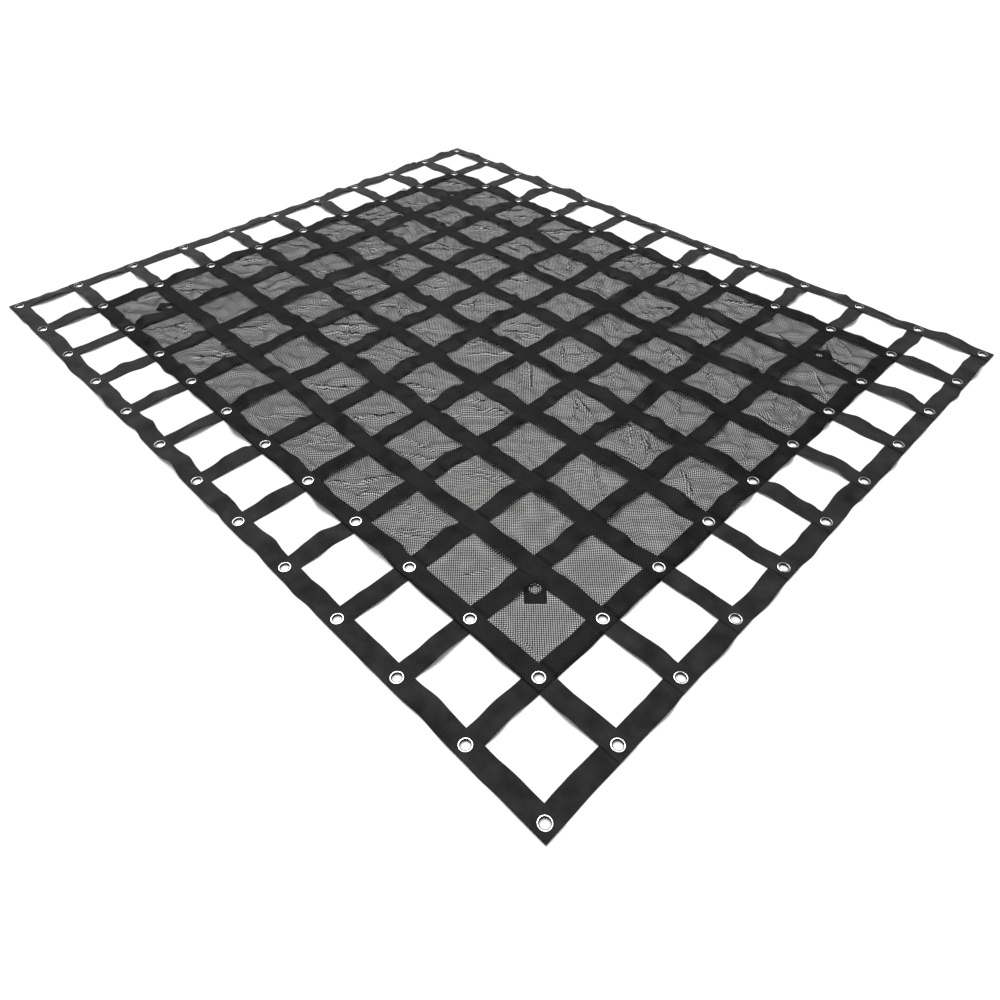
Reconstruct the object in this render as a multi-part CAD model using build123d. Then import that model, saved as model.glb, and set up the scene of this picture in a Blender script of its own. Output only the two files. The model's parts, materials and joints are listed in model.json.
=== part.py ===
from build123d import *
import math
import os

# A cargo net of flat webbing with a mesh liner, spread out flat. Millimetres, +Z up.
# The origin is the middle of the net, on the surface that it lies on. +X is along the long
# side, and the front edge is at -Y. The straps lie in two layers: the cross straps, which run
# along Y, are the lower one, and the long straps are sewn on top of them. The mesh lies on the
# long straps. Each grommet is an eyelet, clinched from above through the webbing into a washer.
# The net folds in half about a line between two cross straps, so the long straps and the mesh
# are each two solids, which meet at that line.

# The grid
PITCH = 200.0  # from strap to strap, both ways
LONG_CELLS = 12  # cells along X
SHORT_CELLS = 10  # cells along Y
MESH_INSET = 1  # the mesh stops this many cells inside the border

# The webbing and the mesh
WEBBING_WIDTH = 50.0
WEBBING_THICKNESS = 1.6
MESH_THICKNESS = 0.6

# The grommets, one size throughout
HOLE_R = 10.5
BARREL_R = 11.1
FLANGE_R = 16.0
FLANGE_CREST_R = 13.4
FLANGE_HEIGHT = 1.5
FLANGE_LIP = 0.5  # height of the flange's inner edge above the fabric
CLINCH_R = 12.4
CLINCH_THICKNESS = 0.4
WASHER_R = 15.5
WASHER_THICKNESS = 0.8
WASHER_CHAMFER = 0.2
SEAT_CLEARANCE = 0.1  # between the barrel and what it goes through

# The four tie-down tabs, short pieces of webbing laid diagonally at the mesh's corner cells
TAB_GROMMET_REACH = 60.0  # from the crossing to the tab's grommet, along the diagonal
TAB_END_REACH = 98.0  # from the crossing to the tab's end
TAB_CELLS = 2  # the tabs are at the crossings this many cells in from the border

# The fold
FOLD_X = PITCH / 2
FOLD_GAP = 0.3

# Levels, from the surface up
CROSS_LEVEL = WASHER_THICKNESS
LONG_LEVEL = CROSS_LEVEL + WEBBING_THICKNESS
BORDER_TOP = LONG_LEVEL + WEBBING_THICKNESS
MESH_TOP = BORDER_TOP + MESH_THICKNESS
TAB_TOP = CROSS_LEVEL + WEBBING_THICKNESS

HALF_LENGTH = LONG_CELLS * PITCH / 2
HALF_WIDTH = SHORT_CELLS * PITCH / 2
MESH_HALF_LENGTH = HALF_LENGTH - MESH_INSET * PITCH + WEBBING_WIDTH / 2
MESH_HALF_WIDTH = HALF_WIDTH - MESH_INSET * PITCH + WEBBING_WIDTH / 2
LEFT_END = FOLD_X - FOLD_GAP / 2
RIGHT_START = FOLD_X + FOLD_GAP / 2


def column_x(column):
    """X of a cross strap's middle line. Columns count from 0 at the left."""
    return column * PITCH - HALF_LENGTH


def row_y(row):
    """Y of a long strap's middle line. Rows count from 0 at the front."""
    return row * PITCH - HALF_WIDTH


def ring_crossings(inset):
    """The crossings of the rectangle of straps that is this many cells inside the border."""
    first_column, last_column = inset, LONG_CELLS - inset
    first_row, last_row = inset, SHORT_CELLS - inset
    return [
        (column, row)
        for column in range(first_column, last_column + 1)
        for row in range(first_row, last_row + 1)
        if column in (first_column, last_column) or row in (first_row, last_row)
    ]


BORDER_RING = ring_crossings(0)
MESH_RING = ring_crossings(MESH_INSET)
HOLED = set(BORDER_RING) | set(MESH_RING)


def slab(x_range, y_range, z_range):
    """A flat box between two values along each axis."""
    spans = [high - low for low, high in (x_range, y_range, z_range)]
    middle = [(high + low) / 2 for low, high in (x_range, y_range, z_range)]
    return Pos(*middle) * Box(*spans)


def punched(sheet, places, z_range):
    """The sheet with a grommet's hole through it at each place."""
    for x, y in places:
        depth = z_range[1] - z_range[0]
        hole = Cylinder(BARREL_R + SEAT_CLEARANCE, depth)
        sheet -= Pos(x, y, z_range[0] + depth / 2) * hole
    return sheet


def cross_strap(column):
    """One strap along Y, in the lower layer."""
    x = column_x(column)
    reach = HALF_WIDTH + WEBBING_WIDTH / 2
    z_range = (CROSS_LEVEL, CROSS_LEVEL + WEBBING_THICKNESS)
    strap = slab((x - WEBBING_WIDTH / 2, x + WEBBING_WIDTH / 2), (-reach, reach), z_range)
    holes = [(x, row_y(row)) for row in range(SHORT_CELLS + 1) if (column, row) in HOLED]
    return punched(strap, holes, z_range)


def long_strap(row, x_range):
    """The part of one strap along X, in the upper layer, that lies in x_range."""
    y = row_y(row)
    z_range = (LONG_LEVEL, LONG_LEVEL + WEBBING_THICKNESS)
    strap = slab(x_range, (y - WEBBING_WIDTH / 2, y + WEBBING_WIDTH / 2), z_range)
    columns = [c for c in range(LONG_CELLS + 1) if x_range[0] < column_x(c) < x_range[1]]
    holes = [(column_x(c), y) for c in columns if (c, row) in HOLED]
    return punched(strap, holes, z_range)


def mesh_liner(x_range):
    """The part of the mesh that lies in x_range, as a plain sheet."""
    z_range = (BORDER_TOP, MESH_TOP)
    sheet = slab(x_range, (-MESH_HALF_WIDTH, MESH_HALF_WIDTH), z_range)
    places = [(column_x(column), row_y(row)) for column, row in MESH_RING]
    inside = [place for place in places if x_range[0] < place[0] < x_range[1]]
    return punched(sheet, inside, z_range)


def tab_crossing(x_side, y_side):
    """The middle of the crossing that a tab is sewn to."""
    return (
        x_side * (HALF_LENGTH - TAB_CELLS * PITCH),
        y_side * (HALF_WIDTH - TAB_CELLS * PITCH),
    )


def tab_grommet_place(x_side, y_side):
    """The middle of a tab's grommet."""
    x, y = tab_crossing(x_side, y_side)
    step = TAB_GROMMET_REACH / math.sqrt(2)
    return x + x_side * step, y + y_side * step


def tie_down_tab(x_side, y_side):
    """A tab that points at the net's corner. It is tucked under the long strap, and its inner
    end is cut along the edge of the cross strap, which lies at the same level."""
    x, y = tab_crossing(x_side, y_side)
    z_range = (CROSS_LEVEL, TAB_TOP)
    angle = math.degrees(math.atan2(y_side, x_side))
    strip = slab((0, TAB_END_REACH), (-WEBBING_WIDTH / 2, WEBBING_WIDTH / 2), z_range)
    strip = Pos(x, y, 0) * Rot(0, 0, angle) * strip
    edge = x + x_side * WEBBING_WIDTH / 2
    outside = sorted((edge, edge + x_side * TAB_END_REACH))
    kept = slab(outside, (y - TAB_END_REACH, y + TAB_END_REACH), z_range)
    return punched(strip & kept, [tab_grommet_place(x_side, y_side)], z_range)


def eyelet(fabric_top):
    """An eyelet: a domed flange, a barrel, and the barrel's lower end rolled outwards."""
    crest = fabric_top + FLANGE_HEIGHT
    lip = (HOLE_R, fabric_top + FLANGE_LIP)
    dome = ThreePointArc((FLANGE_R, fabric_top), (FLANGE_CREST_R, crest), lip)
    inside = Polyline(lip, (HOLE_R, 0), (CLINCH_R, 0), (CLINCH_R, CLINCH_THICKNESS))
    outside = Polyline(
        (CLINCH_R, CLINCH_THICKNESS),
        (BARREL_R, CLINCH_THICKNESS),
        (BARREL_R, fabric_top),
        (FLANGE_R, fabric_top),
    )
    outline = Plane.XZ * Curve([dome, inside, outside])
    return revolve(make_face(outline.edges()), Axis.Z)


def washer():
    """A washer, recessed below for the barrel's rolled end."""
    recess_r = CLINCH_R + SEAT_CLEARANCE
    bore_r = BARREL_R + SEAT_CLEARANCE
    section = Polyline(
        (recess_r, 0),
        (WASHER_R - WASHER_CHAMFER, 0),
        (WASHER_R, WASHER_CHAMFER),
        (WASHER_R, WASHER_THICKNESS),
        (bore_r, WASHER_THICKNESS),
        (bore_r, CLINCH_THICKNESS),
        (recess_r, CLINCH_THICKNESS),
        close=True,
    )
    return revolve(make_face(Plane.XZ * section), Axis.Z)


def copies(shape, places):
    """A copy of the shape at each place, as separate solids."""
    return Compound([Pos(x, y, 0) * shape for x, y in places])


def places_where(crossings, test):
    """The places of the crossings whose column and row pass the test."""
    return [(column_x(c), row_y(r)) for c, r in crossings if test(c, r)]


def grommet_groups(crossings, inset):
    """The places of a ring's grommets, by the stretch of the ring that they are on. Each short
    side has its corners. The long sides are each in two stretches, which meet at the fold."""
    left, right = inset, LONG_CELLS - inset
    front, back = inset, SHORT_CELLS - inset
    between = {
        "left": lambda c: left < c and column_x(c) < FOLD_X,
        "right": lambda c: c < right and column_x(c) > FOLD_X,
    }
    groups = {
        "left_side": places_where(crossings, lambda c, r: c == left),
        "right_side": places_where(crossings, lambda c, r: c == right),
    }
    for end, row in (("front", front), ("back", back)):
        for half, within in between.items():
            groups[f"{end}_{half}"] = places_where(
                crossings, lambda c, r, row=row, within=within: r == row and within(c)
            )
    return groups


def build():
    """Every node of the net, by name."""
    nodes = {}
    for column in range(LONG_CELLS + 1):
        nodes[f"cross_strap_{column + 1:02d}"] = cross_strap(column)
    strap_reach = HALF_LENGTH + WEBBING_WIDTH / 2
    for row in range(SHORT_CELLS + 1):
        nodes[f"long_strap_{row + 1:02d}_left"] = long_strap(row, (-strap_reach, LEFT_END))
        nodes[f"long_strap_{row + 1:02d}_right"] = long_strap(row, (RIGHT_START, strap_reach))
    nodes["mesh_liner_left"] = mesh_liner((-MESH_HALF_LENGTH, LEFT_END))
    nodes["mesh_liner_right"] = mesh_liner((RIGHT_START, MESH_HALF_LENGTH))

    washer_places = {"left": [], "right": []}
    rings = (("border", BORDER_RING, 0, BORDER_TOP), ("mesh", MESH_RING, MESH_INSET, MESH_TOP))
    for ring, crossings, inset, fabric_top in rings:
        shape = eyelet(fabric_top)
        for stretch, places in grommet_groups(crossings, inset).items():
            nodes[f"{ring}_eyelets_{stretch}"] = copies(shape, places)
            washer_places["left" if "left" in stretch else "right"] += places

    tab_eyelet = eyelet(TAB_TOP)
    for half, x_side in (("left", -1), ("right", 1)):
        for end, y_side in (("front", -1), ("back", 1)):
            nodes[f"tie_down_tab_{end}_{half}"] = tie_down_tab(x_side, y_side)
        places = [tab_grommet_place(x_side, y_side) for y_side in (-1, 1)]
        nodes[f"tab_eyelets_{half}"] = copies(tab_eyelet, places)
        washer_places[half] += places
        nodes[f"washers_{half}"] = copies(washer(), washer_places[half])
    return nodes


os.makedirs("parts", exist_ok=True)
for name, shape in build().items():
    export_step(shape, f"parts/{name}.step")
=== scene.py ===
import json
import math

import bpy
import numpy as np
from mathutils import Euler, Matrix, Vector


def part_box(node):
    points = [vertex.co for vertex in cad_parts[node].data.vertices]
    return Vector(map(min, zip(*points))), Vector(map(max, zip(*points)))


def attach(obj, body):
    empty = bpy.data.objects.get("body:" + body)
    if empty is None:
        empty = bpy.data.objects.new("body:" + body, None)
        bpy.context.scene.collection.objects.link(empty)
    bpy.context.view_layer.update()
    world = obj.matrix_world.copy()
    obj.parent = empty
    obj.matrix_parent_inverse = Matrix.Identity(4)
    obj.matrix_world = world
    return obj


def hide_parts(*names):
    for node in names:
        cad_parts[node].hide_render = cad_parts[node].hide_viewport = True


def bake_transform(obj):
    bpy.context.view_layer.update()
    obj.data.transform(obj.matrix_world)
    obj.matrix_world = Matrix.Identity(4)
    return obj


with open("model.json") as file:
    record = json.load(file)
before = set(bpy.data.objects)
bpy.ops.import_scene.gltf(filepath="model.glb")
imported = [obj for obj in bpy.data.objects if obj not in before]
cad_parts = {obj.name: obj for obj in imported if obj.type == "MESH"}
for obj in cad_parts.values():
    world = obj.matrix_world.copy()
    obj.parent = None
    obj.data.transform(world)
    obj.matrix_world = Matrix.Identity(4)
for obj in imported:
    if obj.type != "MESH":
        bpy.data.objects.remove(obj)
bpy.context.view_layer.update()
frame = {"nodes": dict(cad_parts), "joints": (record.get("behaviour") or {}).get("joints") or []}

# A cargo net of flat webbing with a mesh liner, laid out on a pale floor. Metres, as in the CAD
# frame: +X along the long straps, which lie on top of the cross straps. Columns count the cross
# straps from the left and rows count the long straps from the front, both from 0. The straps and
# the mesh are flat at each grommet, where the CAD eyelets hold them, and ripple in between.

MM = 0.001
COLUMNS, ROWS = 13, 11

# Sizes that the frame gives
CROSS_BOXES = [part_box(f"cross_strap_{column + 1:02d}") for column in range(COLUMNS)]
LONG_BOXES = [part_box(f"long_strap_{row + 1:02d}_left") for row in range(ROWS)]
MESH_BOXES = [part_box(f"mesh_liner_{half}") for half in ("left", "right")]
COLUMN_X = [(low.x + high.x) / 2 for low, high in CROSS_BOXES]
ROW_Y = [(low.y + high.y) / 2 for low, high in LONG_BOXES]
PITCH = COLUMN_X[1] - COLUMN_X[0]
WEBBING_WIDTH = CROSS_BOXES[0][1].x - CROSS_BOXES[0][0].x
WEBBING_THICKNESS = CROSS_BOXES[0][1].z - CROSS_BOXES[0][0].z
MESH_THICKNESS = MESH_BOXES[0][1].z - MESH_BOXES[0][0].z
HALF_LENGTH = MESH_BOXES[1][1].x + PITCH
HALF_WIDTH = CROSS_BOXES[0][1].y
CROSS_LEVEL = (CROSS_BOXES[0][0].z + CROSS_BOXES[0][1].z) / 2
LONG_LEVEL = (LONG_BOXES[0][0].z + LONG_BOXES[0][1].z) / 2
FOLD_X = frame["joints"][0]["pos_m"][0]

# The random draws
CROSSING_SEED = 11
FIRST_CROSS_STRAP_SEED = 100
FIRST_LONG_STRAP_SEED = 200
WRINKLE_SEED = 5
CREASE_SEED = 21

# How slack the net is, from its neat front right corner outwards
TIGHTEST = 0.2  # the least slack, as a share of the most
NEAT_REACH = 1.5 * PITCH
SLACKENING = 3 * PITCH  # the distance over which the slack grows to the most

# The straps' ripples
LOOSEST_BUMP = 6 * MM  # how far a strap rises between two crossings
LOWEST_BUMP = -2 * MM
BUMP_SHARES = (0.3, 1.0)  # of those, span by span
MOST_TWIST = math.radians(8.5)
MOST_SWAY = 2.6 * MM
MOST_WAVE = 2.2 * MM  # the second half of a span falls by as much as the first half rises
MOST_CUP = 1.2 * MM
MOST_RUFFLE = 0.9 * MM  # of the strap's edges
RUFFLE_HALF_WAVES = 5  # along a span
PEAK_SKEWS = (0.6, 1.6)  # powers that move a span's peak off its middle
MOST_KINK = 3.2 * MM  # how far a span's one edge stands up at one place
KINK_REACH = 0.09  # of the kink along its span, as a part of it
KINK_PLACES = (0.15, 0.85)  # along its span
KINK_FADE = 1 / 8  # the part at each end of a span over which it comes in
KINK_FALL = 1.5  # the power by which it falls across the strap
HIGHEST_LIFT = 5 * MM  # of a crossing that has no grommet
MOST_SHIFT = 5 * MM  # of such a crossing, sideways
TAB_LIFT = 2 * MM  # of the four crossings that a tab is sewn under
LIVELIEST = 2.4  # how much livelier the straps are away from the front right corner
STRAP_CEILING = 10 * MM  # the most that a strap rises above its level
MOST_ASIDE = MOST_SHIFT + 4 * MOST_SWAY  # more than a strap ever strays to one side
FLOOR_CLEARANCE = 0.1 * MM

# The tabs, measured along their diagonal
TAB_START = -20 * MM  # from its crossing
TAB_LINES = (8, 6, 4)  # grid lines before, round and past its grommet
TAB_COLUMNS, TAB_ROWS = (2, COLUMNS - 3), (2, ROWS - 3)
TAB_ENDS = ((-1, "left"), (1, "right"))
TAB_SIDES = ((-1, "front"), (1, "back"))
TAB_CURL = 1.2 * MM  # how far its end curls up
TAB_CURL_START = 15 * MM  # past its grommet
TAB_CURL_LENGTH = 30 * MM
TAB_CLEARANCE = 4.6 * MM  # of the mesh over a tab and its eyelet
TAB_SHOULDER = 22 * MM  # over which the mesh comes down round a tab
TAB_MARGIN = 4 * MM  # inside the tab's edge, where it starts to

# The meshes
GRID_STEP = PITCH / 20
FOLD_STEP = PITCH / 80
HOLE_R = 11.35 * MM  # in the fabric, round the eyelet's barrel
HOLE_RINGS = 2
WEBBING_EDGE_R = 0.5 * MM
SHARPEST_ANGLE = math.radians(50)  # that isn't rounded
FINE_REACH = 40 * MM  # and its grid is fine this far
ROUNDING = 1e-6  # grid steps, so that a point on a grid line counts as past it

# The mesh liner as it settles
WRINKLE_COUNT = 14
WRINKLE_LENGTH = 75 * MM
WRINKLE_LENGTH_SHARES = (0.7, 1.4)
WRINKLE_HEIGHT = 5 * MM
START_HEIGHT = 4 * MM
LEAST_START = 1.2 * MM
SETTLE_FRAMES = 25
CLOTH_QUALITY = 5  # steps of the simulation for each frame
CLOTH_BENDING = 20
CLOTH_STRETCHING = 40  # and as much against being pressed together
CLOTH_AIR_DAMPING = 2
MOST_STRETCH = 0.026  # how much longer than its cell the slackest mesh is cut
FABRIC_GAP = 1 * MM  # that the settling cloth keeps from the floor and from the straps
MESH_LIFT = MESH_THICKNESS / 2 + 0.15 * MM  # of the mesh's middle above the webbing's top
MESH_FLOOR = 0.5 * MM  # the lowest that the mesh's middle lies
MESH_CEILING = 15 * MM

# The mesh liner's sharp creases
MOST_CREASES = 3.1  # in the slackest cells, on average
CREASE_PLACES = (0.15, 0.85)  # of their middles, across a cell
CREASE_LENGTHS = (40 * MM, 110 * MM)  # from the middle to an end
CREASE_HEIGHTS = (5 * MM, 9 * MM)
CREASE_WIDTHS = (6.5 * MM, 9 * MM)
MOST_BOW = 14 * MM
STEEPEST_LEAN = 0.75  # sideways for each unit of a crease's height
CREASE_SHARPNESS = 1.3
CREASE_TIPS = 1.6  # how soon a crease is at its full height, from its ends
LOWEST_SHARE = 0.5  # of its height, where the mesh isn't slack
FAINTEST_CREST = 0.05  # share of its height from which points are drawn onto the crest
CREASE_FADE = 9 * MM  # from a cell's edge
USUAL_SHARE = 0.8  # of the creases in a cell run much the same way
USUAL_SPREAD = 0.12  # radians
CELL_SPREAD = 0.3  # radians, of the cells' usual ways about their diagonals
DIAGONAL_TURN = 3 * PITCH  # the distance over which one diagonal gives way to the other
EDGE_CREASE_SHARE = 0.6  # of the slackest cells have a crease along their front edge
EDGE_CREASE_MIDDLES = (0.35, 0.65)  # along that edge
EDGE_CREASE_PLACES = (9 * MM, 16 * MM)  # back from it
EDGE_CREASE_SPREAD = 0.05  # radians

# The plate on the eyelets, darkened by painted shade up to one radius or slope and unshaded from
# the next. A slope is the upright part of the surface's normal.
PAINTED_SHADE_LIP_R = 11.9 * MM
UNSHADED_FLANGE_R = 12.9 * MM
PAINTED_SHADE_SLOPE = 0.83
UNSHADED_SLOPE = 0.99

# The stitching
STITCH_LENGTH = 3.0 * MM
STITCH_STEP = 4.2 * MM
THREAD_R = 0.35 * MM
STITCH_INSET = 4.5 * MM  # from an edge of the webbing
STITCH_SIDES = 6
# Rings of points along a stitch: place from -1 to 1, share of the thread's radius, and depth in
# the cloth, in radii
STITCH_RINGS = ((-1, 0.35, 0.9), (-0.6, 1, 0.1), (0.6, 1, 0.1), (1, 0.35, 0.9))

# The studio
FLOOR_REACH = 40
FLOOR_WHITE = 0.93
WORLD_STRENGTH = 0.55
SUN_STRENGTH = 2.6
SUN_SIZE = math.radians(35)
SUN_DIRECTION = (0.5, -0.35, -1)
CAMERA_PLACE = (1.483, -1.392, 1.276)
CAMERA_TILT = math.radians(44.68)  # up from straight down
CAMERA_TURN = math.radians(45.03)
CAMERA_LENS = 26.02  # millimetres, on a sensor of the width below
CAMERA_SENSOR = 36


# ---------------------------------------------------------------- the lie of the fabric


def has_grommet(column, row):
    """True at the crossings of the border and of the ring of straps that the mesh ends on."""
    border = column in (0, COLUMNS - 1) or row in (0, ROWS - 1)
    inside = 1 <= column <= COLUMNS - 2 and 1 <= row <= ROWS - 2
    ring = inside and (column in (1, COLUMNS - 2) or row in (1, ROWS - 2))
    return border or ring


def crossing_places():
    """How far each crossing is from its place in the CAD, as (x, y, z), by (column, row)."""
    rng = np.random.default_rng(CROSSING_SEED)
    moves = {}
    for column in range(COLUMNS):
        for row in range(ROWS):
            lift = rng.uniform(0, HIGHEST_LIFT)
            shift = rng.uniform(-MOST_SHIFT, MOST_SHIFT, 2)
            free = (shift[0], shift[1], lift)
            moves[column, row] = (0.0, 0.0, 0.0) if has_grommet(column, row) else free
    for column in TAB_COLUMNS:
        for row in TAB_ROWS:
            moves[column, row] = (0.0, 0.0, TAB_LIFT)
    return moves


MOVES = crossing_places()


def smooth(t):
    """A step from 0 to 1 with level ends."""
    t = np.clip(t, 0, 1)
    return t * t * (3 - 2 * t)


class Strap:
    """How one strap lies: level over each crossing, and rippled along each span between two."""

    def __init__(self, level, stations, shifts, lifts, seed, liveliness):
        rng = np.random.default_rng(seed)
        spans = len(stations) - 1
        self.level = level
        self.stations = np.array(stations)
        self.shifts = np.array(shifts)
        self.lifts = np.array(lifts)
        lively = np.array(liveliness)
        self.bump = rng.uniform(LOWEST_BUMP, LOOSEST_BUMP, spans) * rng.uniform(*BUMP_SHARES, spans)
        self.bump = self.bump * lively
        self.twist = rng.uniform(-MOST_TWIST, MOST_TWIST, spans) * lively
        self.wave = rng.uniform(-MOST_WAVE, MOST_WAVE, spans) * lively
        self.sway = rng.uniform(-MOST_SWAY, MOST_SWAY, spans) * lively
        self.snake = rng.uniform(-MOST_SWAY, MOST_SWAY, spans) * lively
        self.cup = rng.uniform(-MOST_CUP, MOST_CUP, spans)
        self.skew = rng.uniform(*PEAK_SKEWS, spans)
        self.ruffle = rng.uniform(0, MOST_RUFFLE, spans) * lively
        self.phase = rng.uniform(0, 2 * math.pi, spans)
        self.kink = rng.uniform(0, MOST_KINK, spans) * lively
        self.kink_at = rng.uniform(*KINK_PLACES, spans)
        self.kink_side = rng.choice((-1.0, 1.0), spans)

    def lie(self, s, t):
        """(sideways shift, rise) at s along the strap and t across it."""
        last = len(self.stations) - 2
        span = np.clip(np.searchsorted(self.stations, s) - 1, 0, last)
        half = WEBBING_WIDTH / 2
        run = PITCH - WEBBING_WIDTH
        part = np.clip((s - self.stations[span] - half) / run, 0, 1)
        turned = part ** self.skew[span]
        swell = np.sin(math.pi * turned) ** 2
        swing = swell * np.sin(2 * math.pi * turned)
        across = t / half
        ramp = smooth(part)
        rise = self.lifts[span] + (self.lifts[span + 1] - self.lifts[span]) * ramp
        rise = rise + swell * self.bump[span] + swing * self.wave[span]
        rise = rise + swell * (half * across * np.sin(self.twist[span]))
        rise = rise + swell * self.cup[span] * (across**2 - 0.5)
        ripple = np.sin(RUFFLE_HALF_WAVES * math.pi * part + self.phase[span] * np.sign(across))
        rise = rise + swell * self.ruffle[span] * ripple * across**2
        near_kink = np.exp(-(((part - self.kink_at[span]) / KINK_REACH) ** 2))
        near_kink = near_kink * smooth(part / KINK_FADE) * smooth((1 - part) / KINK_FADE)
        on_side = np.clip(0.5 + 0.5 * across * self.kink_side[span], 0, 1) ** KINK_FALL
        rise = rise + near_kink * on_side * self.kink[span]
        lowest = WEBBING_THICKNESS / 2 + FLOOR_CLEARANCE - self.level
        shift = self.shifts[span] + (self.shifts[span + 1] - self.shifts[span]) * ramp
        sideways = shift + swell * self.sway[span] + swing * self.snake[span]
        return sideways, np.clip(rise, lowest, STRAP_CEILING)


def looseness(x, y):
    """How slack the net is: neat at its front right corner, and slack far from it."""
    reach = np.hypot(HALF_LENGTH - PITCH - x, y + HALF_WIDTH - PITCH)
    return TIGHTEST + (1 - TIGHTEST) * smooth((reach - NEAT_REACH) / SLACKENING)


def liveliness(x, y):
    """How much more than the least the straps ripple."""
    return 1 + (LIVELIEST - 1) * float(looseness(x, y))


def make_straps():
    """The lie of every cross strap and long strap."""
    crosses = []
    for column, x in enumerate(COLUMN_X):
        shifts, _, lifts = zip(*(MOVES[column, row] for row in range(ROWS)))
        lively = [liveliness(x, y + PITCH / 2) for y in ROW_Y[:-1]]
        seed = FIRST_CROSS_STRAP_SEED + column
        crosses.append(Strap(CROSS_LEVEL, ROW_Y, shifts, lifts, seed, lively))
    longs = []
    for row, y in enumerate(ROW_Y):
        _, shifts, lifts = zip(*(MOVES[column, row] for column in range(COLUMNS)))
        lively = [liveliness(x + PITCH / 2, y) for x in COLUMN_X[:-1]]
        seed = FIRST_LONG_STRAP_SEED + row
        longs.append(Strap(LONG_LEVEL, COLUMN_X, shifts, lifts, seed, lively))
    return crosses, longs


CROSS_STRAPS, LONG_STRAPS = make_straps()


# ---------------------------------------------------------------- flat sheets with holes


def steps(start, end, fine_at=None):
    """Grid lines from start to end, a GRID_STEP apart, and FOLD_STEP apart near fine_at."""
    count = round((end - start) / GRID_STEP)
    lines = [start + k * GRID_STEP for k in range(count + 1)]
    if fine_at is None:
        return lines
    every = round(GRID_STEP / FOLD_STEP)
    refined = []
    for a, b in zip(lines, lines[1:]):
        near = abs((a + b) / 2 - fine_at) < FINE_REACH
        parts = every if near else 1
        refined += [a + (b - a) * k / parts for k in range(parts)]
    return refined + lines[-1:]


def holed_grid(xs, ys, centres):
    """(points, faces) of a flat grid with a round hole at each centre. The square of one
    webbing's width round a hole is filled by rings of faces, from the square to the circle."""
    half = WEBBING_WIDTH / 2
    points = [(x, y) for x in xs for y in ys]
    rows = len(ys)
    faces = []
    taken = set()
    for cx, cy in centres:
        i0, i1 = (min(range(len(xs)), key=lambda i: abs(xs[i] - cx - d)) for d in (-half, half))
        j0, j1 = (min(range(rows), key=lambda j: abs(ys[j] - cy - d)) for d in (-half, half))
        taken |= {(i, j) for i in range(i0, i1) for j in range(j0, j1)}
        loop = [(i, j0) for i in range(i0, i1)] + [(i1, j) for j in range(j0, j1)]
        loop += [(i, j1) for i in range(i1, i0, -1)] + [(i0, j) for j in range(j1, j0, -1)]
        ring = [i * rows + j for i, j in loop]
        outer = [points[k] for k in ring]
        for level in range(1, HOLE_RINGS + 2):
            share = level / (HOLE_RINGS + 1)
            first = len(points)
            for x, y in outer:
                reach = math.hypot(x - cx, y - cy)
                rim_x = cx + (x - cx) * HOLE_R / reach
                rim_y = cy + (y - cy) * HOLE_R / reach
                points.append((x + (rim_x - x) * share, y + (rim_y - y) * share))
            inner = list(range(first, first + len(outer)))
            for k in range(len(ring)):
                after = (k + 1) % len(ring)
                faces.append((ring[k], ring[after], inner[after], inner[k]))
            ring = inner
    for i in range(len(xs) - 1):
        for j in range(rows - 1):
            if (i, j) not in taken:
                corner = i * rows + j
                faces.append((corner, corner + rows, corner + rows + 1, corner + 1))
    used = sorted({k for face in faces for k in face})
    place = {k: n for n, k in enumerate(used)}
    kept = np.array([points[k] for k in used])
    return kept, [tuple(place[k] for k in face) for face in faces]


def new_piece(name, points, faces, flat=None):
    """A mesh object. flat is where each point lies on the uncut cloth, in metres, for its weave."""
    mesh = bpy.data.meshes.new(name)
    mesh.from_pydata([tuple(p) for p in points], [], faces)
    mesh.polygons.foreach_set("use_smooth", [True] * len(mesh.polygons))
    if flat is not None:
        corners = np.empty(len(mesh.loops), int)
        mesh.loops.foreach_get("vertex_index", corners)
        layer = mesh.uv_layers.new(name="cloth")
        layer.data.foreach_set("uv", np.asarray(flat, float)[corners].ravel())
    mesh.update()
    piece = bpy.data.objects.new(name, mesh)
    bpy.context.scene.collection.objects.link(piece)
    return piece


def thicken(piece, thickness, edge):
    """Gives a sheet its thickness, with edges rounded by this radius."""
    solid = piece.modifiers.new("thickness", "SOLIDIFY")
    solid.thickness = thickness
    solid.offset = 0
    solid.use_even_offset = edge > 0
    if edge:
        bevel = piece.modifiers.new("edges", "BEVEL")
        bevel.width = edge
        bevel.segments = 2
        bevel.limit_method = "ANGLE"
        bevel.angle_limit = SHARPEST_ANGLE


# ---------------------------------------------------------------- materials


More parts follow.
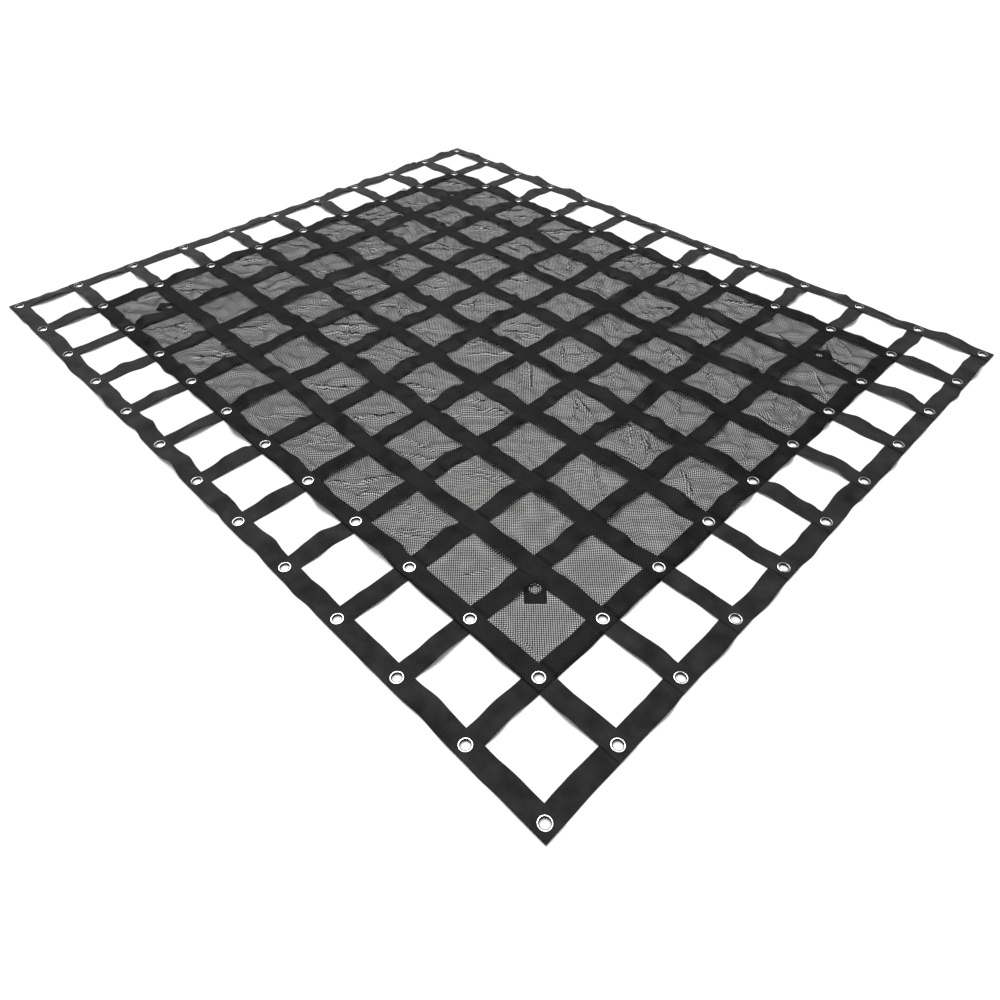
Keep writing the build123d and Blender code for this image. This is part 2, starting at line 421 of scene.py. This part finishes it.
class Nodes:
    """Shorthand for building a material's nodes."""

    def __init__(self, name, **constants):
        self.material = bpy.data.materials.new(name)
        self.material.use_nodes = True
        self.tree = self.material.node_tree
        self.shader = self.tree.nodes["Principled BSDF"]
        for socket, value in constants.items():
            self.shader.inputs[socket.replace("_", " ")].default_value = value

    def add(self, kind, **inputs):
        """A node of this kind. Inputs are named with _ for a space, or _0, _1 by number."""
        node = self.tree.nodes.new(kind)
        for key, value in inputs.items():
            index = key[1:]
            socket = node.inputs[int(index) if index.isdigit() else key.replace("_", " ")]
            if isinstance(value, bpy.types.NodeSocket):
                self.tree.links.new(value, socket)
            else:
                socket.default_value = value
        return node

    def math(self, operation, a, b=0.0, c=0.0):
        """One step of arithmetic."""
        node = self.add("ShaderNodeMath", _0=a, _1=b, _2=c)
        node.operation = operation
        return node.outputs[0]

    def cloth(self):
        """The cloth's own coordinates, along and across, in metres."""
        place = self.add("ShaderNodeUVMap")
        place.uv_map = "cloth"
        axes = self.add("ShaderNodeSeparateXYZ", Vector=place.outputs[0])
        return axes.outputs[0], axes.outputs[1]

    def place(self):
        """The object's coordinates, in metres."""
        return self.add("ShaderNodeTexCoord").outputs["Object"]

    def from_grid(self, coordinate):
        """How far a coordinate is from the nearest line of the grid of crossings."""
        shifted = self.math("ADD", coordinate, PITCH / 2)
        return self.math("SUBTRACT", self.math("FLOORED_MODULO", shifted, PITCH), PITCH / 2)

    def noise(self, vector, scale, detail=3.0):
        """Noise from 0 to 1."""
        node = self.add("ShaderNodeTexNoise", Vector=vector, Scale=scale, Detail=detail)
        return node.outputs[0]

    def mix_colour(self, share, a, b):
        """A colour from a to b."""
        node = self.tree.nodes.new("ShaderNodeMix")
        node.data_type = "RGBA"
        self.tree.links.new(share, node.inputs[0])
        for socket, value in ((node.inputs[6], a), (node.inputs[7], b)):
            socket.default_value = (*value, 1.0)
        return node.outputs[2]

    def link(self, value, socket):
        """Feeds one of the shader's inputs."""
        self.tree.links.new(value, self.shader.inputs[socket])

    def bump(self, height, distance, strength=1.0):
        """Feeds the shader's normal from a height."""
        node = self.add("ShaderNodeBump", Height=height, Distance=distance, Strength=strength)
        self.link(node.outputs[0], "Normal")


def webbing_material():
    """Black woven webbing: ribs along it, crossed by the weft in a twill, and a plain selvedge
    at each edge. Slightly shiny, like polyester yarn."""
    n = Nodes("black_webbing", Roughness=0.42, Specular_IOR_Level=0.11, Sheen_Weight=0.01)
    along, across = n.cloth()
    rib, weft, selvedge_width = 1.6 * MM, 1.1 * MM, 3 * MM
    darkest, lightest = (0.0015, 0.0015, 0.0017), (0.024, 0.024, 0.025)
    patch_contrast, grain_contrast, weave_contrast, darkening = 1.9, 0.35, 0.25, -0.75
    selvedge_rise = 0.25  # as a share of the weave's height
    step = n.math("MULTIPLY", across, 2 * math.pi / rib)
    column = n.math("FLOOR", n.math("DIVIDE", across, rib))
    turn = n.math("MULTIPLY", column, math.pi / 2)
    picks = n.math("MULTIPLY_ADD", along, 2 * math.pi / weft, turn)
    ribs = n.math("ABSOLUTE", n.math("SINE", n.math("MULTIPLY", step, 0.5)))
    yarns = n.math("MULTIPLY_ADD", n.math("SINE", picks), 0.5, 0.5)
    edge = n.math("ABSOLUTE", across)
    selvedge = n.math("GREATER_THAN", edge, WEBBING_WIDTH / 2 - selvedge_width)
    weave = n.math("MULTIPLY", n.math("POWER", ribs, 0.5), n.math("MULTIPLY_ADD", yarns, 0.6, 0.4))
    height = n.math("MULTIPLY_ADD", selvedge, selvedge_rise, weave)
    patches = n.noise(n.place(), scale=22.0)
    patches = n.math("MULTIPLY_ADD", patches, patch_contrast, darkening)
    grain = n.noise(n.place(), scale=160.0)
    grain = n.math("MULTIPLY_ADD", grain, grain_contrast, patches)
    tone = n.math("MULTIPLY_ADD", weave, weave_contrast, grain)
    n.link(n.mix_colour(tone, darkest, lightest), "Base Color")
    n.bump(height, distance=0.35 * MM, strength=0.8)
    return n.material


def mesh_material():
    """Black coated mesh. Its round holes, which are really open, are in rows along both diagonals
    of the cloth: one at the middle and one at the corners of each square of the pitch."""
    n = Nodes("black_mesh", Roughness=0.42, Specular_IOR_Level=0.06)
    along, across = n.cloth()
    pitch, hole_r = 7.0 * MM, 1.98 * MM
    darkest, lightest = (0.002, 0.002, 0.002), (0.007, 0.007, 0.0073)
    u = n.math("SUBTRACT", n.math("FLOORED_MODULO", along, pitch), pitch / 2)
    v = n.math("SUBTRACT", n.math("FLOORED_MODULO", across, pitch), pitch / 2)
    beside_u = n.math("SUBTRACT", n.math("ABSOLUTE", u), pitch / 2)
    beside_v = n.math("SUBTRACT", n.math("ABSOLUTE", v), pitch / 2)
    here = n.math("ADD", n.math("MULTIPLY", u, u), n.math("MULTIPLY", v, v))
    beside = n.math("MULTIPLY", beside_v, beside_v)
    beside = n.math("MULTIPLY_ADD", beside_u, beside_u, beside)
    out = n.math("SQRT", n.math("MINIMUM", here, beside))
    solid = n.math("GREATER_THAN", out, hole_r)
    n.link(solid, "Alpha")
    patches = n.noise(n.place(), scale=20.0)
    n.link(n.mix_colour(patches, darkest, lightest), "Base Color")
    n.bump(out, distance=0.6 * MM, strength=0.7)
    return n.material


def plated_material(name, darkest, brightest, on_grid):
    """Metal plate with fine scratches and random wear. Painted shade darkens its colour on the
    upright walls and at the flange's foot, and, on an eyelet that is on the grid of crossings,
    round the flange's inner lip."""
    n = Nodes(name, Metallic=1.0)
    least_bright = 0.7  # of the plate where it is worn, as a share of the brightest
    smoothest, roughening = 0.12, 0.12
    place = n.place()
    scratches = n.noise(place, scale=900.0, detail=4.0)
    dulling = n.noise(place, scale=60.0)
    axes = n.add("ShaderNodeSeparateXYZ", Vector=n.add("ShaderNodeTexCoord").outputs["Normal"])
    # Painted shade: the colour darkens where the surface slopes or stands upright.
    unshaded_by_slope = n.add("ShaderNodeMapRange", Value=n.math("ABSOLUTE", axes.outputs[2]))
    unshaded_by_slope.interpolation_type = "SMOOTHSTEP"
    unshaded_by_slope.inputs["From Min"].default_value = PAINTED_SHADE_SLOPE
    unshaded_by_slope.inputs["From Max"].default_value = UNSHADED_SLOPE
    worn = n.math("MULTIPLY_ADD", dulling, 1 - least_bright, least_bright)
    unworn_and_unshaded = n.math("MULTIPLY", unshaded_by_slope.outputs[0], worn)
    # Painted shade: the colour darkens round the flange's inner lip of an eyelet on the grid.
    if on_grid:
        axes = n.add("ShaderNodeSeparateXYZ", Vector=place)
        u, v = (n.from_grid(axes.outputs[k]) for k in (0, 1))
        squared = n.math("MULTIPLY_ADD", u, u, n.math("MULTIPLY", v, v))
        out = n.add("ShaderNodeMapRange", Value=n.math("SQRT", squared))
        out.inputs["From Min"].default_value = PAINTED_SHADE_LIP_R
        out.inputs["From Max"].default_value = UNSHADED_FLANGE_R
        unworn_and_unshaded = n.math("MULTIPLY", unworn_and_unshaded, out.outputs[0])
    n.link(n.mix_colour(unworn_and_unshaded, darkest, brightest), "Base Color")
    n.link(n.math("MULTIPLY_ADD", dulling, roughening, smoothest), "Roughness")
    n.bump(scratches, distance=0.05 * MM, strength=0.25)
    return n.material


def thread_material():
    """Bonded black sewing thread, with its twist."""
    n = Nodes("black_thread", Roughness=0.5)
    darkest, lightest = (0.008, 0.008, 0.009), (0.03, 0.03, 0.032)
    twist = n.noise(n.place(), scale=1500.0)
    n.link(n.mix_colour(twist, darkest, lightest), "Base Color")
    n.bump(twist, distance=0.1 * MM, strength=0.5)
    return n.material


def floor_material():
    """A plain pale studio floor."""
    n = Nodes("pale_floor", Roughness=0.9, Specular_IOR_Level=0.1)
    n.shader.inputs["Base Color"].default_value = (FLOOR_WHITE, FLOOR_WHITE, FLOOR_WHITE, 1.0)
    return n.material


WEBBING = webbing_material()
MESH = mesh_material()
NICKEL = plated_material("nickel_plate", (0.03, 0.029, 0.028), (0.75, 0.745, 0.73), True)
# A much darker metal for the tabs' eyelets, which lie under the mesh.
DARK_TAB_METAL = plated_material("black_plate", (0.01, 0.01, 0.01), (0.16, 0.16, 0.165), False)
THREAD = thread_material()


# ---------------------------------------------------------------- straps and tabs


def finish_strap(piece):
    """Webbing's thickness, weave and finish."""
    piece.data.materials.append(WEBBING)
    thicken(piece, WEBBING_THICKNESS, WEBBING_EDGE_R)


def across_lines():
    """Grid lines across a strap."""
    return steps(-WEBBING_WIDTH / 2, WEBBING_WIDTH / 2)


def build_cross_straps():
    """The straps along Y, one piece for each CAD node."""
    for column, x in enumerate(COLUMN_X):
        holes = [(0.0, y) for row, y in enumerate(ROW_Y) if has_grommet(column, row)]
        flat, faces = holed_grid(across_lines(), steps(-HALF_WIDTH, HALF_WIDTH), holes)
        sway, rise = CROSS_STRAPS[column].lie(flat[:, 1], flat[:, 0])
        points = np.column_stack([x + flat[:, 0] + sway, flat[:, 1], CROSS_LEVEL + rise])
        node = f"cross_strap_{column + 1:02d}"
        piece = new_piece(f"webbing_{node}", points, faces, flat[:, ::-1])
        finish_strap(piece)
        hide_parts(node)
        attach(piece, "left_half" if x < FOLD_X else "right_half")


def build_long_straps():
    """The straps along X, each one continuous piece across the fold for two CAD nodes."""
    for row, y in enumerate(ROW_Y):
        holes = [(x, 0.0) for column, x in enumerate(COLUMN_X) if has_grommet(column, row)]
        lines = steps(-HALF_LENGTH, HALF_LENGTH, FOLD_X)
        flat, faces = holed_grid(lines, across_lines(), holes)
        sway, rise = LONG_STRAPS[row].lie(flat[:, 0], flat[:, 1])
        points = np.column_stack([flat[:, 0], y + flat[:, 1] + sway, LONG_LEVEL + rise])
        node = f"long_strap_{row + 1:02d}"
        piece = new_piece(f"webbing_{node}", points, faces, flat)
        finish_strap(piece)
        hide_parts(f"{node}_left", f"{node}_right")
        bend_at_fold(piece)


def bend_at_fold(piece):
    """Bakes the piece's transform into its points; nothing bends it at the fold."""
    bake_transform(piece)


def tab_place(x_side, y_side):
    """(crossing, diagonal direction, distance to the grommet, distance to the end) of a tab."""
    half, end = ("left", "right")[x_side > 0], ("front", "back")[y_side > 0]
    crossing = np.array([x_side * COLUMN_X[TAB_COLUMNS[1]], y_side * ROW_Y[TAB_ROWS[1]]])
    direction = np.array([x_side, y_side]) / math.sqrt(2)
    low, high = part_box(f"tab_eyelets_{half}")
    grommet_x = x_side * (abs(low.x + high.x) / 2)
    reach = (abs(grommet_x) - abs(crossing[0])) * math.sqrt(2)
    low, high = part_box(f"tie_down_tab_{end}_{half}")
    farthest = max(abs(low.x), abs(high.x)) - abs(crossing[0])
    return crossing, direction, reach, farthest * math.sqrt(2) - WEBBING_WIDTH / 2


def build_tabs():
    """The four diagonal tabs, each with its own grommet hole."""
    for x_side, half in TAB_ENDS:
        for y_side, end in TAB_SIDES:
            crossing, direction, reach, tip = tab_place(x_side, y_side)
            hole_from = reach - WEBBING_WIDTH / 2
            count_before, count_around, count_past = TAB_LINES
            before = np.linspace(TAB_START, hole_from, count_before)[:-1]
            around = np.linspace(hole_from, reach + WEBBING_WIDTH / 2, count_around)
            past_hole = np.linspace(around[-1], tip, count_past)[1:]
            lines = [*before, *around, *past_hole]
            flat, faces = holed_grid(lines, across_lines(), [(reach, 0.0)])
            side = np.array([-direction[1], direction[0]])
            plan = crossing + flat[:, :1] * direction + flat[:, 1:] * side
            past = flat[:, 0] - reach - TAB_CURL_START
            curl = smooth(past / TAB_CURL_LENGTH) * TAB_CURL
            points = np.column_stack([plan, CROSS_LEVEL + curl])
            node = f"tie_down_tab_{end}_{half}"
            piece = new_piece(f"webbing_{node}", points, faces, flat)
            finish_strap(piece)
            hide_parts(node)
            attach(piece, f"{half}_half")


# ---------------------------------------------------------------- the mesh liner


def strap_tops(x, y, reach=0.0):
    """Height of the webbing's top under each point, and True where the point is on webbing or
    within reach of it."""
    top = np.zeros(len(x))
    on = np.zeros(len(x), bool)
    half = WEBBING_WIDTH / 2
    layers = ((COLUMN_X, CROSS_STRAPS, x, y), (ROW_Y, LONG_STRAPS, y, x))
    for middles, straps, across, along in layers:
        for middle, strap in zip(middles, straps):
            near = np.abs(across - middle) < half + reach + MOST_ASIDE
            sideways, _ = strap.lie(along[near], 0.0)
            offset = across[near] - middle - sideways
            _, rise = strap.lie(along[near], np.clip(offset, -half, half))
            under = np.abs(offset) <= half + reach
            height = strap.level + WEBBING_THICKNESS / 2 + rise
            top[near] = np.where(under, np.maximum(top[near], height), top[near])
            on[near] |= under
    return top, on


def tab_tops(x, y):
    """Height that the mesh needs to clear the tabs and their eyelets, with soft shoulders."""
    need = np.zeros(len(x))
    for x_side, _ in TAB_ENDS:
        for y_side, _ in TAB_SIDES:
            crossing, direction, _, tip = tab_place(x_side, y_side)
            offset = np.column_stack([x, y]) - crossing
            along = offset @ direction
            across = np.abs(offset @ np.array([-direction[1], direction[0]]))
            past = np.maximum(along - tip, across - WEBBING_WIDTH / 2)
            past = np.where(along > 0, past, 1.0)
            covered = 1 - smooth((past + TAB_MARGIN) / TAB_SHOULDER)
            need = np.maximum(need, TAB_CLEARANCE * covered)
    return need


def wrinkles(x, y):
    """Broad, shallow wrinkles all over, for the cloth to settle from."""
    rng = np.random.default_rng(WRINKLE_SEED)
    height = np.zeros(len(x))
    for _ in range(WRINKLE_COUNT):
        angle = rng.uniform(0, math.pi)
        length = WRINKLE_LENGTH * rng.uniform(*WRINKLE_LENGTH_SHARES)
        phase = rng.uniform(0, 2 * math.pi)
        along = x * math.cos(angle) + y * math.sin(angle)
        height += np.sin(2 * math.pi * along / length + phase)
    return height * WRINKLE_HEIGHT / math.sqrt(WRINKLE_COUNT / 2)


def settle():
    """The lie of the mesh on an even grid, as an array [i, j, xyz] of how far each point moves
    from the flat. The cloth between the straps is slack, buckles and comes down on the floor."""
    low, high = MESH_BOXES[0][0], MESH_BOXES[1][1]
    xs, ys = steps(low.x, high.x), steps(low.y, high.y)
    flat, faces = holed_grid(xs, ys, [])
    x, y = flat[:, 0], flat[:, 1]
    top, sewn = strap_tops(x, y, FABRIC_GAP)
    slack = looseness(x, y)
    free = np.clip(START_HEIGHT + wrinkles(x, y) * slack, LEAST_START, MESH_CEILING)
    z = np.where(sewn, top + MESH_LIFT, free)
    start = np.column_stack([flat, z])
    still = np.column_stack([flat, np.zeros(len(x))])

    scene = bpy.context.scene
    cloth = new_piece("settling_cloth", start, faces)
    held = cloth.vertex_groups.new(name="sewn")
    held.add([int(k) for k in np.flatnonzero(sewn)], 1.0, "REPLACE")
    loose = cloth.vertex_groups.new(name="slack")
    for k, share in enumerate(slack):
        loose.add([k], float(share), "REPLACE")
    reach = HALF_LENGTH
    corners = [(-reach, -reach, 0), (reach, -reach, 0), (reach, reach, 0), (-reach, reach, 0)]
    floor = new_piece("settling_floor", corners, [(0, 1, 2, 3)])
    floor.modifiers.new("floor", "COLLISION")
    floor.collision.thickness_outer = FABRIC_GAP

    settling = cloth.modifiers.new("settle", "CLOTH")
    settings = settling.settings
    settings.vertex_group_mass = "sewn"
    settings.vertex_group_shrink = "slack"
    settings.shrink_min = 0
    settings.shrink_max = -MOST_STRETCH
    settings.quality = CLOTH_QUALITY
    settings.bending_stiffness = CLOTH_BENDING
    settings.tension_stiffness = CLOTH_STRETCHING
    settings.compression_stiffness = CLOTH_STRETCHING
    settings.air_damping = CLOTH_AIR_DAMPING
    settling.collision_settings.distance_min = FABRIC_GAP
    settling.point_cache.frame_start = 1
    settling.point_cache.frame_end = SETTLE_FRAMES
    for moment in range(1, SETTLE_FRAMES + 1):
        scene.frame_set(moment)
    settled = cloth.evaluated_get(bpy.context.evaluated_depsgraph_get())
    points = np.empty(len(x) * 3)
    settled.data.vertices.foreach_get("co", points)
    bpy.data.objects.remove(cloth)
    bpy.data.objects.remove(floor)
    scene.frame_set(1)
    return (points.reshape(-1, 3) - still).reshape(len(xs), len(ys), 3)


def cubic_weights(t):
    """How much each of four even samples counts at t, from the second one to the third."""
    return (
        ((2 - t) * t - 1) * t / 2,
        ((3 * t - 5) * t * t + 2) / 2,
        ((4 - 3 * t) * t + 1) * t / 2,
        (t - 1) * t * t / 2,
    )


def between(grid, x, y):
    """The values of an even grid over the mesh liner, at points between its lines."""
    low = MESH_BOXES[0][0]
    at = [(x - low.x) / GRID_STEP, (y - low.y) / GRID_STEP]
    first = [np.clip(np.floor(a + ROUNDING).astype(int), 0, n - 2) for a, n in zip(at, grid.shape)]
    weights = [cubic_weights(np.clip(a - f, 0, 1)) for a, f in zip(at, first)]
    total = np.zeros((len(x), grid.shape[2]))
    for k in range(4):
        i = np.clip(first[0] + k - 1, 0, grid.shape[0] - 1)
        for m in range(4):
            j = np.clip(first[1] + m - 1, 0, grid.shape[1] - 1)
            total += grid[i, j] * (weights[0][k] * weights[1][m])[:, None]
    return total


def crease(points, inside, u, v, rng, middle, angle, slack):
    """Raises one sharp fold that leans over to one side. u and v are the places in an open cell
    of the points inside it. Points beside the crest are drawn onto it, to keep it sharp."""
    opening = PITCH - WEBBING_WIDTH
    half_length = rng.uniform(*CREASE_LENGTHS)
    bow = rng.uniform(-MOST_BOW, MOST_BOW)
    height = rng.uniform(*CREASE_HEIGHTS) * (LOWEST_SHARE + (1 - LOWEST_SHARE) * slack)
    width = rng.uniform(*CREASE_WIDTHS)
    lean = rng.uniform(-STEEPEST_LEAN, STEEPEST_LEAN)
    ahead = np.array([math.cos(angle), math.sin(angle)])
    aside = np.array([-ahead[1], ahead[0]])
    du, dv = u - middle[0], v - middle[1]
    along = (du * ahead[0] + dv * ahead[1]) / half_length
    off = du * aside[0] + dv * aside[1] - bow * along**2
    edge = np.minimum.reduce([u, v, opening - u, opening - v])
    fade = smooth((1 - along**2) * CREASE_TIPS) * smooth(edge / CREASE_FADE)
    crest = (np.abs(off) < GRID_STEP / 4) & (fade > FAINTEST_CREST)
    drawn = np.where(crest, off, 0.0)
    off = off - drawn
    ridge = height * fade * np.clip(1 - np.abs(off) / width, 0, 1) ** CREASE_SHARPNESS
    points[inside, 2] += ridge
    points[inside, :2] += (ridge * lean - drawn)[:, None] * aside


def crease_cells(points, x, y):
    """Adds the sharp creases of every open cell."""
    rng = np.random.default_rng(CREASE_SEED)
    opening = PITCH - WEBBING_WIDTH
    for column in range(1, COLUMNS - 2):
        for row in range(1, ROWS - 2):
            corner_x = COLUMN_X[column] + WEBBING_WIDTH / 2
            corner_y = ROW_Y[row] + WEBBING_WIDTH / 2
            u, v = x - corner_x, y - corner_y
            inside = np.flatnonzero((u > 0) & (u < opening) & (v > 0) & (v < opening))
            slack = float(looseness(corner_x + opening / 2, corner_y + opening / 2))
            right = float(smooth((corner_x + corner_y - PITCH) / DIAGONAL_TURN + 0.5))
            diagonal = math.pi / 4 * (-1 if rng.random() < right else 1)
            usual_angle = rng.normal(diagonal, CELL_SPREAD)
            for _ in range(rng.poisson(MOST_CREASES * slack)):
                usual = rng.random() < USUAL_SHARE
                if usual:
                    angle = rng.normal(usual_angle, USUAL_SPREAD)
                else:
                    angle = rng.uniform(0, math.pi)
                middle = rng.uniform(*CREASE_PLACES, 2) * opening
                crease(points, inside, u[inside], v[inside], rng, middle, angle, slack)
            if rng.random() < EDGE_CREASE_SHARE * slack:
                along = rng.uniform(*EDGE_CREASE_MIDDLES) * opening
                middle = (along, rng.uniform(*EDGE_CREASE_PLACES))
                angle = rng.normal(0, EDGE_CREASE_SPREAD)
                crease(points, inside, u[inside], v[inside], rng, middle, angle, slack)


def fine_steps(start, end, straps, fold=None):
    """Grid lines for the mesh, GRID_STEP apart over the straps and half that in between. The
    steps near the fold are finer already, and stay as they are."""
    lines = []
    coarse = steps(start, end, fold)
    for a, b in zip(coarse, coarse[1:]):
        middle = (a + b) / 2
        over = min(abs(middle - strap) for strap in straps) < WEBBING_WIDTH / 2
        lines += [a] if over or b - a < GRID_STEP * 0.9 else [a, middle]
    return lines + [end]


def build_mesh_liner():
    """The liner: one sheet, sewn down over the straps and wrinkled in each cell."""
    low, high = MESH_BOXES[0][0], MESH_BOXES[1][1]
    holes = [
        (x, y)
        for column, x in enumerate(COLUMN_X[1:-1], 1)
        for row, y in enumerate(ROW_Y[1:-1], 1)
        if has_grommet(column, row)
    ]
    xs = fine_steps(low.x, high.x, COLUMN_X, FOLD_X)
    ys = fine_steps(low.y, high.y, ROW_Y)
    flat, faces = holed_grid(xs, ys, holes)
    x, y = flat[:, 0], flat[:, 1]
    points = np.column_stack([flat, np.zeros(len(x))]) + between(settle(), x, y)
    crease_cells(points, x, y)
    top, on = strap_tops(points[:, 0], points[:, 1], GRID_STEP / 2)
    least = np.where(on, top + MESH_LIFT, MESH_FLOOR)
    least = np.maximum(least, tab_tops(x, y))
    points[:, 2] = np.clip(np.maximum(points[:, 2], least), MESH_FLOOR, MESH_CEILING)
    piece = new_piece("mesh_liner_sheet", points, faces, flat)
    piece.data.materials.append(MESH)
    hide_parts("mesh_liner_left", "mesh_liner_right")
    bend_at_fold(piece)
    thicken(piece, MESH_THICKNESS, 0)


# ---------------------------------------------------------------- stitching


def stitch_points(middle, direction, up):
    """One stitch, as a short rounded bar of thread that dips into the cloth at its ends."""
    side = np.cross(up, direction)
    points = []
    for at, size, sink in STITCH_RINGS:
        centre = middle + direction * (at * STITCH_LENGTH / 2) - up * (sink * THREAD_R)
        for k in range(STITCH_SIDES):
            angle = 2 * math.pi * k / STITCH_SIDES
            round_it = side * math.cos(angle) + up * math.sin(angle)
            points.append(centre + round_it * (THREAD_R * size))
    return points


def stitch_faces(first):
    """The faces of the stitch whose points begin at this index."""
    faces = []
    for ring in range(len(STITCH_RINGS) - 1):
        for k in range(STITCH_SIDES):
            a = first + ring * STITCH_SIDES + k
            b = first + ring * STITCH_SIDES + (k + 1) % STITCH_SIDES
            faces.append((a, b, b + STITCH_SIDES, a + STITCH_SIDES))
    last = first + (len(STITCH_RINGS) - 1) * STITCH_SIDES
    faces.append(tuple(range(first + STITCH_SIDES - 1, first - 1, -1)))
    faces.append(tuple(range(last, last + STITCH_SIDES)))
    return faces


def seam(start, end):
    """(middle, direction) of each stitch on a straight line from start to end."""
    start, end = np.array(start, float), np.array(end, float)
    length = np.linalg.norm(end - start)
    direction = (end - start) / length
    count = int(length / STITCH_STEP)
    first = (length - (count - 1) * STITCH_STEP) / 2
    return [(start + direction * (first + k * STITCH_STEP), direction) for k in range(count)]


def build_stitches(name, stitches, up):
    """One piece of many stitches, each given as (middle, direction), up being +1 or -1."""
    points, faces = [], []
    upward = np.array([0.0, 0.0, up])
    for middle, direction in stitches:
        faces += stitch_faces(len(points))
        points += stitch_points(np.array(middle), np.array([*direction, 0.0]), upward)
    piece = new_piece(name, points, faces)
    piece.data.materials.append(THREAD)
    return piece


def box_seam(x, y):
    """The square of stitches that sews one crossing."""
    half = WEBBING_WIDTH / 2 - STITCH_INSET
    corners = [(x - half, y - half), (x + half, y - half), (x + half, y + half), (x - half, y + half)]
    stitches = []
    for start, end in zip(corners, corners[1:] + corners[:1]):
        stitches += seam(start, end)
    return stitches


def build_crossing_stitching():
    """The stitching of every crossing, above and below, a piece for each half of the net."""
    for half in ("left", "right"):
        above, below = [], []
        for column, x in enumerate(COLUMN_X):
            if (x < FOLD_X) != (half == "left"):
                continue
            for row, y in enumerate(ROW_Y):
                shift_x, shift_y, lift = MOVES[column, row]
                for place, direction in box_seam(x + shift_x, y + shift_y):
                    top = LONG_LEVEL + WEBBING_THICKNESS / 2 + lift
                    bottom = CROSS_LEVEL - WEBBING_THICKNESS / 2 + lift
                    above.append(((*place, top), direction))
                    below.append(((*place, bottom), direction))
        for where, stitches, up in (("top", above, 1), ("underside", below, -1)):
            piece = build_stitches(f"crossing_stitching_{where}_{half}", stitches, up)
            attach(piece, f"{half}_half")


def build_liner_stitching():
    """Two lines of stitching that hold the liner's edge to the ring of straps below it."""
    low, high = MESH_BOXES[0][0], MESH_BOXES[1][1]
    stitches = []
    for inset in (STITCH_INSET, WEBBING_WIDTH - STITCH_INSET):
        x0, x1, y0, y1 = low.x + inset, high.x - inset, low.y + inset, high.y - inset
        corners = [(x0, y0), (x1, y0), (x1, y1), (x0, y1)]
        for start, end in zip(corners, corners[1:] + corners[:1]):
            stitches += seam(start, end)
    places = np.array([place for place, _ in stitches])
    top, _ = strap_tops(places[:, 0], places[:, 1])
    raised = [
        ((x, y, z + MESH_THICKNESS), direction)
        for (x, y), z, (_, direction) in zip(places, top, stitches)
    ]
    piece = build_stitches("liner_edge_stitching", raised, 1)
    bend_at_fold(piece)


# ---------------------------------------------------------------- metal, floor, light, camera


def dress_grommets():
    """Plate on the CAD's own eyelets and washers; the tabs' eyelets get a much darker metal."""
    for name, node in frame["nodes"].items():
        if "eyelets" in name or name.startswith("washers"):
            node.data.materials.clear()
            node.data.materials.append(DARK_TAB_METAL if name.startswith("tab") else NICKEL)


def build_stage():
    """The floor, and the light of a white studio."""
    mesh = bpy.data.meshes.new("floor")
    reach = FLOOR_REACH
    corners = [(-reach, -reach, 0), (reach, -reach, 0), (reach, reach, 0), (-reach, reach, 0)]
    mesh.from_pydata(corners, [], [(0, 1, 2, 3)])
    floor = bpy.data.objects.new("floor", mesh)
    floor.data.materials.append(floor_material())
    bpy.context.scene.collection.objects.link(floor)

    world = bpy.data.worlds.new("studio")
    world.use_nodes = True
    background = world.node_tree.nodes["Background"]
    background.inputs["Color"].default_value = (1, 1, 1, 1)
    background.inputs["Strength"].default_value = WORLD_STRENGTH
    bpy.context.scene.world = world
    bpy.context.scene.view_settings.view_transform = "Standard"

    data = bpy.data.lights.new("softbox", "SUN")
    data.angle = SUN_SIZE
    data.energy = SUN_STRENGTH
    light = bpy.data.objects.new("softbox", data)
    light.rotation_mode = "QUATERNION"
    light.rotation_quaternion = Vector(SUN_DIRECTION).to_track_quat("-Z", "Y")
    bpy.context.scene.collection.objects.link(light)


def build_camera():
    """The camera, above and beyond the near corner, looking down at half a right angle."""
    data = bpy.data.cameras.new("camera")
    data.lens = CAMERA_LENS
    data.sensor_width = CAMERA_SENSOR
    camera = bpy.data.objects.new("camera", data)
    camera.location = CAMERA_PLACE
    camera.rotation_euler = Euler((CAMERA_TILT, 0, CAMERA_TURN))
    bpy.context.scene.collection.objects.link(camera)
    bpy.context.scene.camera = camera


build_cross_straps()
build_long_straps()
build_tabs()
build_mesh_liner()
build_crossing_stitching()
build_liner_stitching()
dress_grommets()
build_stage()
build_camera()
